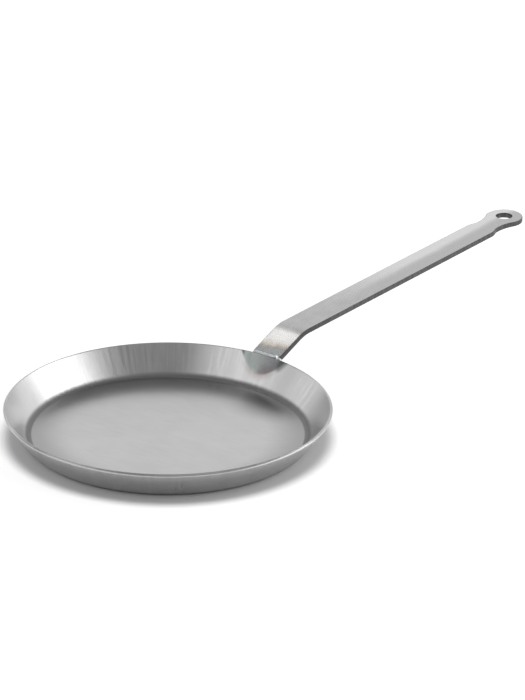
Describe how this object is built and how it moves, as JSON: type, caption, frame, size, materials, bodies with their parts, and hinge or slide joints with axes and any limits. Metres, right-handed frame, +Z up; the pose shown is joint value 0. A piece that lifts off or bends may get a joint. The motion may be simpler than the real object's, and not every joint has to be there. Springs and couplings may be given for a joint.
{
  "type": "crepe pan",
  "caption": "Shallow round steel crepe pan with a flared wall and a long flat-strip handle welded to it, ending in an eye for hanging.",
  "frame": {"origin": "centre of the underside of the dish's floor", "axes": "+Z up, +X from the dish's axis along the handle to its eye"},
  "size_m": [0.4754, 0.1996, 0.0296],
  "materials": {
    "dish_steel": "satin, finely brushed bare carbon steel",
    "handle_steel": "satin, brushed along its length, with darker cut edges",
    "weld_steel": "bright rippled weld metal"
  },
  "bodies": {
    "root": {"pan_body": "dish_steel", "handle": "handle_steel", "rim_weld_bead": "weld_steel", "root_weld_bead": "weld_steel"}
  },
  "joints": []
}
